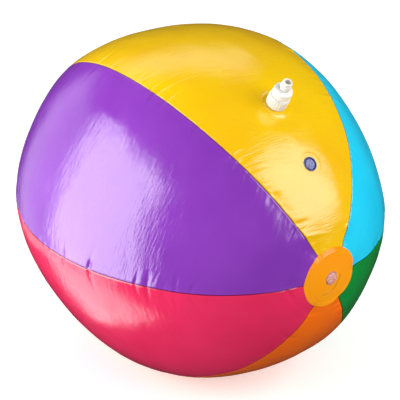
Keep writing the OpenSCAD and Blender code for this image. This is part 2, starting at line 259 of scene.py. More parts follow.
def rubberMaterial(name, finish, v):
    base, bloom, roughness = finish
    mat, tree, out = newMaterial(name)
    place = addNode(tree, "ShaderNodeTexCoord").outputs["Object"]
    dust = addNode(tree, "ShaderNodeTexNoise", {"Vector": place, "Scale": 1 / v["bloomSize"],
                                                "Detail": 4.0})
    colour = addNode(tree, "ShaderNodeValToRGB", {"Fac": dust.outputs["Fac"]})
    setRamp(colour, [(0.4, hexColour(base)), (0.7, hexColour(bloom))])
    grain = addNode(tree, "ShaderNodeTexNoise", {"Vector": place, "Scale": 1 / v["grainSize"]})
    bump = addNode(tree, "ShaderNodeBump", {"Height": grain.outputs["Fac"], "Strength": 0.4,
                                            "Distance": v["grainHeight"]})
    skin = addNode(tree, "ShaderNodeBsdfPrincipled", {
        "Base Color": colour.outputs["Color"], "Roughness": roughness, "IOR": 1.5,
        "Normal": bump.outputs["Normal"]})
    tree.links.new(skin.outputs["BSDF"], out.inputs["Surface"])
    return mat


panelNames = ["yellow", "blue", "green", "orange", "red", "purple"]    # clockwise from the top
filmMaterials = {n: filmMaterial("calendered PVC film " + n, filmLook[n], filmLook)
                 for n in panelNames + ["disc"]}
clearPink = clearMaterial("clear moulded PVC", "#ffd6cc", "#f7a196", 0.35, clearLook)
clearBlue = clearMaterial("clear moulded PVC blue tint", "#c4c8f6", "#7f84d6", 0.5, clearLook)
whiteAbs = absMaterial("moulded white ABS", absLook)
blackRubber = rubberMaterial("EPDM rubber", rubberLook["black"], rubberLook)
paleSilicone = rubberMaterial("silicone rubber", rubberLook["silicone"], rubberLook)
print("materials ready")

# The ball starts from the flat shapes that its panels were cut to. Air then
# stretches them: each panel bulges and the seams stand proud.
filmShape = {
    # metres, from the ball's middle to a panel's middle, and to the panels' tips
    "halfWidth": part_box("gore_yellow")[1].z - ballMiddle.z,
    "halfLength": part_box("closed_end_disc")[1].y - 0.0004,
    "endRadius": 0.265,                # the tighter curve of the two ends
    "tipOpening": 0.040,               # where the panels' tips are cut off under the end disc
    "across": 12, "along": 48,         # squares on a panel in the first, coarse fit
    "rounds": (1000, 700, 900),
    "stretchiness": 10000.0,           # newtons per metre of film
    "pressure": 1700.0,                # pascals
    "bending": 0.02,
    "damping": 0.02,
    "thickness": 0.00035,
    "seed": 4,
}


def ovalOutline(v):
    half, long, endR = v["halfWidth"], v["halfLength"], v["endRadius"]
    endMiddle = long - endR
    sideR = (half ** 2 + endMiddle ** 2 - endR ** 2) / (2 * (half - endR))
    shift = sideR - half
    join = math.atan2(endMiddle, shift)
    sideArc = sideR * join
    last = sideArc + endR * (math.pi / 2 - join - math.asin(v["tipOpening"] / endR))

    def outline(s):      # distance round from the middle -> radius, place along, and the normal's two parts
        t = np.abs(s)
        side = t < sideArc
        turn = np.where(side, t / sideR, (t - sideArc) / endR + join)
        radius = np.where(side, sideR * np.cos(turn) - shift, endR * np.cos(turn))
        along = np.where(side, sideR * np.sin(turn), endMiddle + endR * np.sin(turn))
        return radius, np.sign(s) * along, np.cos(turn), np.sign(s) * np.sin(turn)
    return outline, last


outline, lastRow = ovalOutline(filmShape)


def flatLengths(n, m):
    s = np.linspace(-lastRow, lastRow, m + 1)
    half = outline(s)[0] * math.pi / 6
    x = np.linspace(-1, 1, n + 1)[:, None] * half[None]
    y = np.repeat(s[None], n + 1, 0)
    across = np.abs(x[1:] - x[:-1])
    along = np.hypot(x[:, 1:] - x[:, :-1], y[:, 1:] - y[:, :-1])
    first = np.hypot(x[1:, 1:] - x[:-1, :-1], y[1:, 1:] - y[:-1, :-1])
    second = np.hypot(x[1:, :-1] - x[:-1, 1:], y[1:, :-1] - y[:-1, 1:])
    tiled = [np.tile(q, (6, 1)) for q in (across, along[:-1], first, second)]
    return tiled, s[1] - s[0], half


def relaxFilm(grid, n, m, rounds, v):
    (across, along, first, second), step, half = flatLengths(n, m)
    stiff, floor = v["stretchiness"], -ballMiddle.z
    kAcross = np.minimum(stiff * 0.75 * step / np.maximum(across, 1e-5), stiff * 2.5)
    kAlong = stiff * 0.75 * np.maximum(2 * half / n, step * 0.3)[None, :-1] / along
    kCross = stiff * 0.35
    mass = 2.2 * (kAcross + np.pad(kAlong, ((0, 0), (0, 1)), mode="edge") + 2 * kCross)[..., None]
    speed = np.zeros_like(grid)
    side = 0.0

    def pull(a, b, k, rest):
        d = b - a
        length = np.sqrt((d * d).sum(-1))
        return (k * (length - rest) / length)[..., None] * d

    for _ in range(rounds):
        force = np.zeros_like(grid)
        after = np.roll(grid, -1, 0)
        f = pull(grid, after, kAcross, across)
        force += f - np.roll(f, 1, 0)
        f = pull(grid[:, :-1], grid[:, 1:], kAlong, along)
        force[:, :-1] += f
        force[:, 1:] -= f
        f = pull(grid[:, :-1], after[:, 1:], kCross, first)
        force[:, :-1] += f
        force[:, 1:] -= np.roll(f, 1, 0)
        f = pull(grid[:, 1:], after[:, :-1], kCross, second)
        force[:, 1:] += f
        force[:, :-1] -= np.roll(f, 1, 0)
        air = np.cross(grid[:, 1:] - after[:, :-1], after[:, 1:] - grid[:, :-1]) * v["pressure"] / 8
        side = side or np.sign((air * grid[:, :-1]).sum())
        air = air * side
        air = air + np.roll(air, 1, 0)
        force[:, :-1] += air
        force[:, 1:] += air
        bend = after + np.roll(grid, 1, 0) - 2 * grid
        bend[:, 1:-1] += grid[:, 2:] + grid[:, :-2] - 2 * grid[:, 1:-1]
        bend[:, 0] = bend[:, -1] = 0
        stiffer = np.roll(bend, -1, 0) + np.roll(bend, 1, 0) - 2 * bend
        stiffer[:, 1:-1] += bend[:, 2:] + bend[:, :-2] - 2 * bend[:, 1:-1]
        force -= v["bending"] * stiff * stiffer
        for j, sign in ((0, -1), (-1, 1)):     # the end disc keeps each ring of tips round
            push = force[:, j, 1].mean() + sign * v["pressure"] * math.pi * v["tipOpening"] ** 2 / (6 * n)
            force[:, j] = 0
            force[:, j, 1] = push
        speed = (speed + force / mass) * (1 - v["damping"])
        grid = grid + speed
    return grid


def finerGrid(grid):
    n, m, _ = grid.shape
    fine = np.empty((2 * n, 2 * m - 1, 3))
    fine[::2, ::2] = grid
    fine[1::2, ::2] = (9 * (grid + np.roll(grid, -1, 0)) - np.roll(grid, 1, 0) - np.roll(grid, -2, 0)) / 16
    even = fine[:, ::2]
    between = (even[:, 1:] + even[:, :-1]) / 2
    between[:, 1:-1] = (9 * (even[:, 2:-1] + even[:, 1:-2]) - even[:, :-3] - even[:, 3:]) / 16
    fine[:, 1::2] = between
    return fine


def inflate(v):
    n, m = v["across"], v["along"]
    s = np.linspace(-lastRow, lastRow, m + 1)
    radius, along, _, _ = outline(s)
    turn = math.radians(-30) + np.arange(6 * n) / (6 * n) * 2 * math.pi
    grid = np.stack([radius * np.sin(turn)[:, None], np.repeat(along[None], 6 * n, 0),
                     radius * np.cos(turn)[:, None]], -1)
    np.random.seed(v["seed"])
    grid[:, 1:-1] += np.random.normal(0, 0.0008, grid[:, 1:-1].shape)
    grid = relaxFilm(grid, n, m, v["rounds"][0], v)
    for rounds in v["rounds"][1:]:
        grid, n, m = finerGrid(grid), n * 2, m * 2
        grid = relaxFilm(grid, n, m, rounds, v)
        print("film eased on", 6 * n, "x", m, "squares")
    # each panel's middle line is brought onto the outline, row by row
    s = np.linspace(-lastRow, lastRow, m + 1)
    radius, along, _, _ = outline(s)
    middles = grid[n // 2::n]
    nowRadius = np.hypot(middles[..., 0], middles[..., 2]).mean(0)
    nowAlong = middles[..., 1].mean(0)
    grid[..., [0, 2]] *= (radius / nowRadius)[None, :, None]
    grid[..., 1] += (along - nowAlong)[None]
    fine = np.empty((6 * n, 2 * m + 1, 3))      # rows close enough together to hold the puckers
    fine[:, ::2] = grid
    fine[:, 1::2] = (grid[:, 1:] + grid[:, :-1]) / 2
    fine[:, 3:-3:2] = (9 * (grid[:, 2:-1] + grid[:, 1:-2]) - grid[:, :-3] - grid[:, 3:]) / 16
    return fine, n, 2 * m


film, across, along = inflate(filmShape)
print("film inflated: seams at", round(float(np.abs(film[..., 0]).max()), 4))


def softFloor(z):     # the film lies flat where it meets the floor, with a small easing round the patch
    h = z + ballMiddle.z
    return 0.5 * (h + np.sqrt(h * h + 4 * 0.00012 ** 2)) - ballMiddle.z


weldShape = {
    "near": (0.0, 0.0005, 0.0011, 0.0019, 0.0030, 0.0045),    # extra columns, metres from the seam
    "middle": 44,                               # columns between them
    "startsAt": 0.048, "fullAt": 0.060,         # the weld runs out under the end disc
    "depth": 0.0009, "halfWidth": 0.0008,       # the crease where two panels turn in to their weld
    "lip": 0.00012, "lipAt": 0.0026, "lipWidth": 0.0011,
    # the weld shortens the film's edge, so short creases gather along it in groups
    "puckers": 120, "groups": 26, "puckerHeight": 0.00042, "puckerReach": (0.008, 0.028),
    "puckerWidth": (0.0022, 0.0040), "slant": 0.25, "groupSpread": 0.022, "secondSide": 0.75,
    "puckerSeed": 57, "waveSeed": 12,
    "waves": 14, "waveLength": (0.045, 0.120), "waveHeight": 0.00007,
}


def puckerField(k, side, s, distance, v):
    seam = (k + side) % 6
    rng = np.random.RandomState(v["puckerSeed"] + seam)      # the two panels of a seam share its creases
    middles = rng.uniform(-lastRow, lastRow, v["groups"])
    field = np.zeros_like(distance)
    for _ in range(v["puckers"]):
        at = middles[rng.randint(v["groups"])] + rng.normal(0, v["groupSpread"])
        reach, wide = rng.uniform(*v["puckerReach"]), rng.uniform(*v["puckerWidth"])
        slant = rng.uniform(-v["slant"], v["slant"])
        height = v["puckerHeight"] * rng.gamma(1.3) * rng.choice((-1, -1, 1)) * (1.0, v["secondSide"])[side]
        field += height * (np.exp(-((s[None] - at - slant * distance) / wide) ** 2)
                           * (1 - np.exp(-distance / 0.002)) * np.exp(-(distance / reach) ** 2))
    return field


def slowWaves(points, v):      # what is left of the fold lines that the ball was packed on
    rng = np.random.RandomState(v["waveSeed"])
    field = np.zeros(points.shape[:2])
    for _ in range(v["waves"]):
        way = rng.normal(size=3)
        way *= 2 * math.pi / np.linalg.norm(way) / rng.uniform(*v["waveLength"])
        field += v["waveHeight"] * np.sin(points @ way + rng.uniform(0, 6.28))
    return field


def panelGrid(k, v):
    picked = film[(np.arange(across + 1) + k * across) % (6 * across)]
    s = np.linspace(-lastRow, lastRow, along + 1)
    width = 2 * outline(s)[0] * math.pi / 6
    near = np.array(v["near"])
    columns = []
    for w in width:
        inner = np.linspace(near[-1], w - near[-1], v["middle"] + 1)[1:-1]
        columns.append(np.concatenate([near, inner, w - near[::-1]]))
    x = np.array(columns).T
    spot = x / width * across
    base = np.clip(np.floor(spot).astype(int) - 1, 0, across - 3)
    t = spot - base
    weights = [-(t - 1) * (t - 2) * (t - 3) / 6, t * (t - 2) * (t - 3) / 2,
               -t * (t - 1) * (t - 3) / 2, t * (t - 1) * (t - 2) / 6]
    rows = np.arange(along + 1)[None]
    surface = sum(w[..., None] * picked[base + i, rows] for i, w in enumerate(weights))
    fromSeam = np.minimum(x, width - x)
    radius, _, outward, endward = outline(s)
    turn = np.arctan2(surface[..., 0], surface[..., 2])
    normal = np.stack([np.sin(turn) * outward, np.broadcast_to(endward, turn.shape),
                       np.cos(turn) * outward], -1)
    fade = np.clip((radius - v["startsAt"]) / (v["fullAt"] - v["startsAt"]), 0, 1)
    press = (-v["depth"] * np.exp(-(fromSeam / v["halfWidth"]) ** 2)
             + v["lip"] * np.exp(-((fromSeam - v["lipAt"]) / v["lipWidth"]) ** 2))
    press = press + slowWaves(surface, v)
    for side in (0, 1):
        press = press + puckerField(k, side, s, width - x if side else x, v)
    surface = surface + normal * (press * fade)[..., None]
    # painted shade along the weld's crease, and a painted highlight on its lip
    line = (0.5 - 0.5 * np.exp(-(fromSeam / 0.0009) ** 2)
            + 0.15 * np.exp(-((fromSeam - 0.0028) / 0.0012) ** 2))
    place = np.stack([x, np.broadcast_to(s, x.shape), np.full_like(x, k * 0.37)], -1)
    return surface, line, place


def newMesh(name, vertices, faces, material, line=None, place=None):
    mesh = bpy.data.meshes.new(name)
    mesh.from_pydata([tuple(p) for p in vertices], [], [tuple(int(i) for i in f) for f in faces])
    mesh.materials.append(material)
    if line is not None:
        mesh.attributes.new("weldMarkAndPaintedLight", "FLOAT", "POINT").data.foreach_set(
            "value", np.asarray(line, np.float32))
    if place is not None:
        mesh.attributes.new("filmPlace", "FLOAT_VECTOR", "POINT").data.foreach_set(
            "vector", np.asarray(place, np.float32).reshape(-1))
    mesh.polygons.foreach_set("use_smooth", np.ones(len(mesh.polygons), bool))
    return placeObject(name, mesh)


def seatMatrix(point, axis):
    z = Vector(axis).normalized()
    x = Vector((1, 0, 0))
    y = z.cross(x)
    return Matrix(((x.x, y.x, z.x, point[0]), (x.y, y.y, z.y, point[1]),
                   (x.z, y.z, z.z, point[2]), (0, 0, 0, 1)))


def jointAxis(name):
    return next(j["axis"] for j in frame["record"]["behaviour"]["joints"] if j["name"] == name)


endMiddleY = filmShape["halfLength"] - filmShape["endRadius"]
airSeat = seatMatrix((0, -filmShape["halfLength"], ballMiddle.z), jointAxis("valve_stem_slide"))
drainAxis = Vector(jointAxis("drain_stem_slide"))
drainSeat = seatMatrix(Vector((0, -endMiddleY, ballMiddle.z))
                       + drainAxis * (filmShape["endRadius"] - filmShape["thickness"]), drainAxis)
inletAxis = Vector(jointAxis("nipple_lift"))


def inletPoint():      # where the fitting's axis meets the panel's middle line
    s = np.linspace(-lastRow, 0, 4001)
    radius, y, _, endward = outline(s)
    i = int(np.abs(endward - inletAxis.y).argmin())
    return Vector((0, float(y[i]), ballMiddle.z + float(radius[i])))


inletSeat = seatMatrix(inletPoint(), inletAxis)

# how far the film is pressed out (+) or in (-) round each fitting, by radius, in mm
drainPress = {"hole": 11.5, "reach": 32.0,
              "steps": ((11.5, -0.25), (12.2, -0.05), (13.0, 0.04), (16.6, 0.05), (17.6, 0.14),
                        (18.2, 0.10), (19.2, -0.04), (21.5, -0.10), (25.0, -0.05), (30.0, 0.0)),
              "lines": ((18.4, 0.6),)}
inletPress = {"hole": 13.7, "reach": 56.0,
              "steps": ((13.7, -0.05), (15.0, 0.0), (20.8, 0.0), (21.6, 0.25), (22.4, 0.15),
                        (24.0, -0.55), (27.0, -1.25), (31.0, -1.6), (36.0, -1.45), (42.0, -0.85),
                        (48.0, -0.3), (54.0, 0.0)),
              "lines": ((21.9, 0.9),)}


def patchRound(obj, seat, press):
    reach = press["reach"] / 1000
    bm = bmesh.new()
    bm.from_mesh(obj.data)
    lineLayer = bm.verts.layers.float["weldMarkAndPaintedLight"]
    placeLayer = bm.verts.layers.float_vector["filmPlace"]
    inverse = seat.inverted()
    local = np.array([inverse @ v.co for v in bm.verts])
    flat = np.hypot(local[:, 0], local[:, 1])
    ring = (flat < reach * 1.45) & (np.abs(local[:, 2]) < 0.05)
    powers = [(i, j) for i in range(6) for j in range(6 - i)]
    a, b = local[:, 0] / reach, local[:, 1] / reach
    basis = np.stack([a[ring] ** i * b[ring] ** j for i, j in powers], -1)
    fit = np.linalg.lstsq(basis, local[ring, 2], rcond=None)[0]
    bm.verts.ensure_lookup_table()
    nearest = bm.verts[int(flat.argmin())]
    there, middleX = Vector(nearest[placeLayer]), float(local[nearest.index, 0])
    inside = set(np.nonzero((flat < reach) & (np.abs(local[:, 2]) < 0.05))[0].tolist())
    doomed = [f for f in bm.faces if any(v.index in inside for v in f.verts)]
    bmesh.ops.delete(bm, geom=doomed, context="FACES")
    edge = [e for e in bm.edges if len(e.link_faces) == 1
            and all(np.hypot(*(inverse @ v.co).xy) < reach * 1.4 and abs((inverse @ v.co).z) < 0.05
                    for v in e.verts)]
    radii = [press["hole"]]
    while radii[-1] < press["reach"] - 4:
        r = radii[-1]
        radii.append(r + (0.4 if r < 24 else 1.4 + (r - 24) * 0.06))
    count, rings = 96, []
    stepR, stepH = zip(*press["steps"])
    for r in radii:
        turn = np.arange(count) / count * 2 * math.pi
        px, py = r / 1000 * np.cos(turn), r / 1000 * np.sin(turn)
        height = sum(c * (px / reach) ** i * (py / reach) ** j for c, (i, j) in zip(fit, powers))
        height = height + np.interp(r, stepR, stepH) / 1000
        mark = 0.5 - sum(0.05 * math.exp(-((r - at) / wide) ** 2) for at, wide in press["lines"])
        row = []
        for x, y, z in zip(px, py, height):
            vert = bm.verts.new(seat @ Vector((x, y, z)))
            vert[lineLayer] = mark
            vert[placeLayer] = (there.x + x - middleX, there.y + y, there.z)
            row.append(vert)
        rings.append(row)
    faces = []
    for low, high in zip(rings, rings[1:]):
        for i in range(count):
            j = (i + 1) % count
            faces.append(bm.faces.new((low[i], high[i], high[j], low[j])))
    last = rings[-1]
    lastEdges = [bm.edges.get((last[i], last[(i + 1) % count])) for i in range(count)]
    made = bmesh.ops.bridge_loops(bm, edges=edge + lastEdges)
    faces += made["faces"]
    for f in faces:
        f.smooth = True
    bmesh.ops.recalc_face_normals(bm, faces=bm.faces)
    loose = [v for v in bm.verts if not v.link_faces]
    bmesh.ops.delete(bm, geom=loose, context="VERTS")
    bm.to_mesh(obj.data)
    bm.free()


def thicken(obj, thickness):
    solid = obj.modifiers.new("film thickness", "SOLIDIFY")
    solid.thickness = thickness
    solid.offset = -1
    solid.use_even_offset = False


def gridFaces(columns, rows):
    i, j = np.meshgrid(np.arange(columns - 1), np.arange(rows - 1), indexing="ij")
    a = i * rows + j
    return np.stack([a, a + 1, a + rows + 1, a + rows], -1).reshape(-1, 4)


def makePanels():
    for k, name in enumerate(panelNames):
        surface, line, place = panelGrid(k, weldShape)
        columns, rows, _ = surface.shape
        points = surface.reshape(-1, 3)
        points[:, 2] = softFloor(points[:, 2])
        points[:, 2] += ballMiddle.z
        obj = newMesh("panel_" + name, points, gridFaces(columns, rows), filmMaterials[name],
                      line.reshape(-1), place.reshape(-1, 3))
        middle = obj.data.polygons[len(obj.data.polygons) // 2]
        if middle.normal.dot(middle.center - ballMiddle) < 0:
            obj.data.flip_normals()
        if name == "yellow":
            patchRound(obj, drainSeat, drainPress)
            patchRound(obj, inletSeat, inletPress)
            face = min(obj.data.polygons, key=lambda f: (f.center - Vector((0, 0, 0.6))).length)
            if face.normal.z < 0:
                obj.data.flip_normals()
        thicken(obj, filmShape["thickness"])
        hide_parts("gore_" + name)
        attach(obj, "ball")


makePanels()
print("panels ready")

# The two end discs are RF welded over the panels' tips
discShape = {
    "radius": 0.051, "thickness": 0.0004, "lift": 0.00047,
    "weldLines": (0.0484, 0.0458, 0.0432), "lineHeight": 0.00045, "lineWidth": 0.00045,
    "around": 192,
    "valveHole": 0.0115,
    # the fold the film took when the valve was last pushed in, part of a turn round the flange
    "fold": 0.0189, "foldFrom": 88, "foldOpens": 135, "foldTo": 207, "foldRate": 0.000155,
    "foldDepth": 0.00060, "foldWidth": 0.00060,
    "edge": 0.0007,                             # a painted highlight along the disc's rim
    "flange": 0.0182, "flangeHeight": 0.0001,   # the valve's flange shows through the film
}


def foldAt(r, turn, v):
    middle = v["fold"] + v["foldRate"] * max(turn - v["foldOpens"], 0)
    ends = 1 / (1 + math.exp((v["foldFrom"] - turn) / 2.5)) / (1 + math.exp((turn - v["foldTo"]) / 2.5))
    return ends * math.exp(-((r - middle) / v["foldWidth"]) ** 2)


def makeDisc(name, end, hole, v):
    rows = np.arange(0, 40) if end < 0 else np.arange(along, along - 40, -1)
    near = film[:, rows]
    radius, y = np.hypot(near[..., 0], near[..., 2]), near[..., 1]
    turn = np.arctan2(near[..., 0], near[..., 2])
    angle = np.arange(v["around"]) / v["around"] * 2 * math.pi - math.pi

    def filmAt(r):
        ys = np.array([np.interp(r, radius[i], y[i]) for i in range(len(film))])
        ts = np.array([np.interp(r, radius[i], np.unwrap(turn[i])) for i in range(len(film))])
        round360 = np.mod(ts + math.pi, 2 * math.pi)
        order = np.argsort(round360)
        return np.interp(np.mod(angle + math.pi, 2 * math.pi), round360[order], ys[order],
                         period=2 * math.pi)

    pole = end * filmShape["halfLength"]
    opening = filmShape["tipOpening"]
    atOpening = filmAt(opening)
    inner = np.linspace(hole, opening, 34 if hole else 40)[:-1]
    if hole:
        inner = np.unique(np.concatenate([inner, np.arange(0.0115, 0.0330, 0.00035)]))
    outer = np.arange(opening, v["radius"] + 1e-6, 0.0003)
    points, line = [], []
    for r in np.concatenate([inner, outer]):
        if r < opening:
            height = pole + (atOpening - pole) * (r / opening) ** 2
        else:
            height = filmAt(r)
        ridge = sum(math.exp(-((r - w) / v["lineWidth"]) ** 2) for w in v["weldLines"]) * v["lineHeight"]
        mark = 0.5 + sum(0.42 * math.exp(-((r - w) / 0.0005) ** 2) for w in v["weldLines"])
        # painted highlight along the disc's rim
        if r > v["radius"] - v["edge"]:
            mark = 0.9
        if hole:
            ridge += v["flangeHeight"] / (1 + math.exp((r - v["flange"]) / 0.0003))
        lift = v["lift"] + ridge
        tilt = min(r / filmShape["endRadius"], 1)
        for a, h in zip(angle, height):
            fold = foldAt(r, math.degrees(a) % 360, v) if hole else 0.0
            out = lift - v["foldDepth"] * fold
            points.append((math.sin(a) * (r + tilt * out), h + end * out * math.sqrt(1 - tilt ** 2),
                           math.cos(a) * (r + tilt * out) + ballMiddle.z))
            # painted shade darkens the fold's crease
            line.append(mark - 0.42 * fold)
    count, total = v["around"], len(inner) + len(outer)
    faces = []
    for i in range(total - 1):
        for j in range(count):
            k = (j + 1) % count
            if not hole and i == 0:
                continue
            faces.append((i * count + j, i * count + k, (i + 1) * count + k, (i + 1) * count + j))
    if not hole:
        faces.append(tuple(count + j for j in range(count)))
    obj = newMesh(name, points, faces, filmMaterials["disc"], line)
    bm = bmesh.new()
    bm.from_mesh(obj.data)
    bmesh.ops.delete(bm, geom=[p for p in bm.verts if not p.link_faces], context="VERTS")
    bmesh.ops.recalc_face_normals(bm, faces=bm.faces)
    bm.faces.ensure_lookup_table()
    test = max(bm.faces, key=lambda f: f.calc_area())
    if test.normal.y * end < 0:
        bmesh.ops.reverse_faces(bm, faces=bm.faces)
    bm.to_mesh(obj.data)
    bm.free()
    thicken(obj, v["thickness"])
    return obj


frontDisc = makeDisc("front_disc", -1, discShape["valveHole"], discShape)
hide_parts("valve_end_disc")
backDisc = makeDisc("back_disc", 1, 0.0, discShape)
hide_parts("closed_end_disc")
for disc in (frontDisc, backDisc):
    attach(disc, "ball")
print("end discs ready")


def roundOff(corners, closed, steps=4):      # corners are radius, height and rounding, in mm
    points = []
    for i, (r, z, soft) in enumerate(corners):
        here = np.array((r, z), float)
        if soft <= 0 or (not closed and i in (0, len(corners) - 1)):
            points.append(here)
            continue
        before = np.array(corners[i - 1][:2], float) - here
        after = np.array(corners[(i + 1) % len(corners)][:2], float) - here
        cut = min(soft, np.linalg.norm(before) * 0.48, np.linalg.norm(after) * 0.48)
        a = here + before / np.linalg.norm(before) * cut
        b = here + after / np.linalg.norm(after) * cut
        for t in np.linspace(0, 1, steps + 1):
            points.append((1 - t) ** 2 * a + 2 * t * (1 - t) * here + t * t * b)
    return points


def finishMesh(name, bm, material):
    bmesh.ops.recalc_face_normals(bm, faces=bm.faces)
    mesh = bpy.data.meshes.new(name)
    bm.to_mesh(mesh)
    bm.free()
    mesh.materials.append(material)
    mesh.polygons.foreach_set("use_smooth", np.ones(len(mesh.polygons), bool))
    return placeObject(name, mesh)


def turned(name, corners, seat, material, closed=True, around=96, shape=None, steps=4):
    bm = bmesh.new()
    rings = []
    for r, z in roundOff(corners, closed, steps):
        row = []
        for i in range(around if r > 1e-6 else 1):
            a = i / around * 2 * math.pi
            rr, zz = shape(r, z, a) if shape else (r, z)
            row.append(bm.verts.new(seat @ (Vector((rr * math.cos(a), rr * math.sin(a), zz)) / 1000)))
        rings.append(row)
    pairs = list(zip(rings, rings[1:])) + ([(rings[-1], rings[0])] if closed else [])
    for low, high in pairs:
        for i in range(around):
            j = (i + 1) % around
            corner = [low[i % len(low)], low[j % len(low)], high[j % len(high)], high[i % len(high)]]
            corner = [v for n, v in enumerate(corner) if v not in corner[:n]]
            if len(corner) > 2:
                bm.faces.new(corner)
    obj = finishMesh(name, bm, material)
    weight = obj.modifiers.new("even shading", "WEIGHTED_NORMAL")
    weight.keep_sharp = True
    return obj


# One moulded valve: flange and neck, rolling skirt, stem, plug on its strap, and
# the flap that closes the stem from inside. Heights are from the film's face, in mm.
valveShape = {
    "opening": 10.5, "neckWall": 1.0, "neckDepth": 3.0, "flange": 18.0, "flangeThick": 0.8,
    "bead": 0.9,
    "skirtTop": 10.7, "skirtFloor": 9.0, "skirtWall": 0.7, "skirtDepth": 12.5,
    "stem": 6.0, "bore": 4.2, "stemTop": -2.1, "stemEnd": -17.1, "lip": 7.0,
    "cap": 7.8, "capTop": 0.35, "capThick": 2.4,
    "capFlange": 10.2, "proud": 1.8, "petals": 9, "petalDepth": 0.60,     # the rosette on top of the plug
    "plugLength": 7.0, "strapWide": 3.0, "strapThick": 0.8,
}


def makeValve(prefix, node, seat, stemBody, plugBody, material, v):
    def sag(r):      # how far the curved film falls away, in mm
        return -r * r / (2 * filmShape["endRadius"] * 1000)

    ring = turned(prefix + "_flange", [
        (v["opening"], v["bead"], 0.45), (v["opening"] + v["neckWall"], v["bead"], 0.45),
        (v["opening"] + v["neckWall"], sag(v["opening"]) - 0.05, 0.15),
        (v["flange"], sag(v["flange"]) - 0.05, 0.25),
        (v["flange"], sag(v["flange"]) - v["flangeThick"], 0.25),
        (v["opening"] + v["neckWall"], -v["flangeThick"] - 0.3, 0.3),
        (v["opening"] + v["neckWall"], -v["neckDepth"], 0.1), (v["opening"], -v["neckDepth"], 0.1)],
        seat, material)
    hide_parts(node + "_ring")
    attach(ring, "ball")

    skirt = turned(prefix + "_skirt", [
        (v["skirtTop"], -v["neckDepth"], 0), (v["skirtTop"] + v["skirtWall"], -v["neckDepth"], 0),
        (v["skirtTop"] + 0.55, -5.5, 0), (v["skirtTop"] + 0.1, -8.5, 0),
        (v["skirtFloor"] + v["skirtWall"], -v["skirtDepth"], 1.4),
        (v["stem"] + 0.05, -v["skirtDepth"], 0.1),
        (v["stem"] + 0.05, -v["skirtDepth"] + v["skirtWall"], 0.1),
        (v["skirtFloor"], -v["skirtDepth"] + v["skirtWall"], 1.0),
        (v["skirtTop"] - 0.6, -8.5, 0), (v["skirtTop"] - 0.15, -5.5, 0)], seat, material)
    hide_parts(node + "_skirt")
    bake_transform(skirt, "ball", stemBody, seat @ Vector((0, 0, -0.0030)), seat @ Vector((0, 0, -0.0118)))

    stem = turned(prefix + "_stem", [
        (v["bore"], v["stemTop"], 0.25), (v["lip"], v["stemTop"], 0.6), (v["lip"], v["stemTop"] - 2.0, 0.5),
        (v["stem"], v["stemTop"] - 2.0, 0.2), (v["stem"], -13.4, 0.1), (7.4, -12.55, 0.2),
        (7.4, -13.3, 0.3), (v["stem"], -13.3, 0.2), (v["stem"], v["stemEnd"], 0.3),
        (v["bore"], v["stemEnd"], 0.3)], seat, material, around=72)
    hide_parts(node + "_stem")
    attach(stem, stemBody)

    def petals(r, z, a):      # finger grips round the top of the plug, like a small flower
        lobe = 0.5 - 0.5 * math.cos(v["petals"] * a)
        if z > v["capTop"] - 1.2 and r > 2.4:
            share = min((r - 2.4) / 1.6, 1.0)
            return r - 0.45 * (1 - lobe) * (r > 8.5), z - v["petalDepth"] * (1 - lobe) * share
        return r, z

    capBase, top = v["capTop"] - v["capThick"], v["capTop"] + v["proud"]
    plug = turned(prefix + "_plug", [
        (0, top + 0.9, 0), (1.4, top + 0.9, 0.2), (2.4, top + 0.2, 0.3),
        (3.4, top + 0.9, 0.3), (5.4, top + 1.15, 0.5), (7.6, top + 0.90, 0.7),
        (v["capFlange"], top + 0.10, 0.6), (v["capFlange"], v["capTop"] - 0.75, 0.35),
        (v["cap"], v["capTop"] - 0.95, 0.3), (v["cap"], capBase, 0.3), (v["bore"] - 0.05, capBase, 0.1),
        (v["bore"] - 0.05, capBase - v["plugLength"] + 1, 0.4),
        (v["bore"] - 0.85, capBase - v["plugLength"], 0.3), (0, capBase - v["plugLength"], 0)],
        seat, material, closed=False, around=120, shape=petals)
    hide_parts(node + "_plug")
    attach(plug, plugBody)

    path = [(-7.4, -1.25), (-8.3, -1.2), (-8.9, -1.7), (-9.0, -2.9), (-8.8, -4.0), (-8.2, -4.55),
            (-7.2, -4.6), (-6.0, -4.55)]
    strap = sweptStrap(prefix + "_strap", path, v["strapWide"], v["strapThick"], seat, material)
    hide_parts(node + "_tether")
    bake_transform(strap, stemBody, plugBody, seat @ Vector((0, 0, -0.0042)), seat @ Vector((0, 0, -0.0013)))


def sweptStrap(name, path, wide, thick, seat, material):
    path = np.array(path, float)
    fine = []
    for i in range(len(path) - 1):
        p = [path[max(i - 1, 0)], path[i], path[i + 1], path[min(i + 2, len(path) - 1)]]
        for t in np.linspace(0, 1, 5)[:-1]:
            fine.append(0.5 * (2 * p[1] + (p[2] - p[0]) * t + (2 * p[0] - 5 * p[1] + 4 * p[2] - p[3]) * t * t
                               + (3 * p[1] - p[0] - 3 * p[2] + p[3]) * t ** 3))
    fine = np.array(fine + [path[-1]])
    ahead = np.gradient(fine, axis=0)
    ahead /= np.linalg.norm(ahead, axis=1)[:, None]
    bm = bmesh.new()
    section = [(math.copysign(abs(math.cos(a)) ** 0.45, math.cos(a)) * wide / 2,
                math.copysign(abs(math.sin(a)) ** 0.7, math.sin(a)) * thick / 2)
               for a in np.arange(16) / 16 * 2 * math.pi]
    rows = []
    for (y, z), (dy, dz) in zip(fine, ahead):
        rows.append([bm.verts.new(seat @ (Vector((sx, y - dz * st, z + dy * st)) / 1000))
                     for sx, st in section])
    for low, high in zip(rows, rows[1:]):
        for i in range(16):
            j = (i + 1) % 16
            bm.faces.new((low[i], low[j], high[j], high[i]))
    bm.faces.new(rows[0])
    bm.faces.new(rows[-1])
    return finishMesh(name, bm, material)


makeValve("air", "valve", airSeat, "air_stem", "air_plug", clearPink, valveShape)
makeValve("drain", "drain", drainSeat, "drain_stem", "drain_plug", clearBlue,
          {**valveShape, "capFlange": 8.5, "proud": -0.3})      # the drain's plug sits lower


